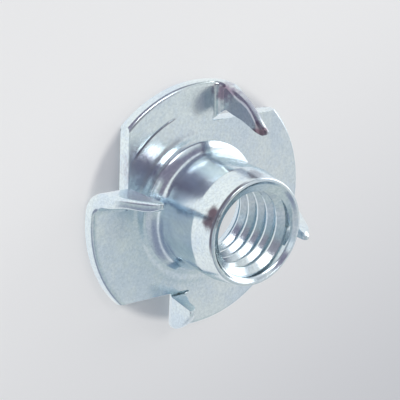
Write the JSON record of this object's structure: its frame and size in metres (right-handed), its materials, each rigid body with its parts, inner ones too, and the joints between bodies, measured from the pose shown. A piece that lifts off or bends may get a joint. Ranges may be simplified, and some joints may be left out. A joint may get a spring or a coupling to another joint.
{
  "type": "tee nut",
  "caption": "Short pressed steel tee nut: a tapered threaded barrel on a round flange whose lanced rim is folded up into wood-gripping prongs.",
  "frame": {"origin": "on the bore's axis, in the plane of the flange's back, on which the nut stands", "axes": "+Z along the bore's axis, from the flange towards the barrel's mouth; +X and +Y lie in the flange, and the first prong's slit faces 29 degrees from +X towards +Y"},
  "size_m": [0.0212, 0.0212, 0.0091],
  "materials": {
    "zinc": "bright zinc plate with a bluish passivation, soft mirror gloss, fine press marks and worn edges"
  },
  "bodies": {
    "root": {"tee_nut": "zinc"}
  },
  "joints": []
}
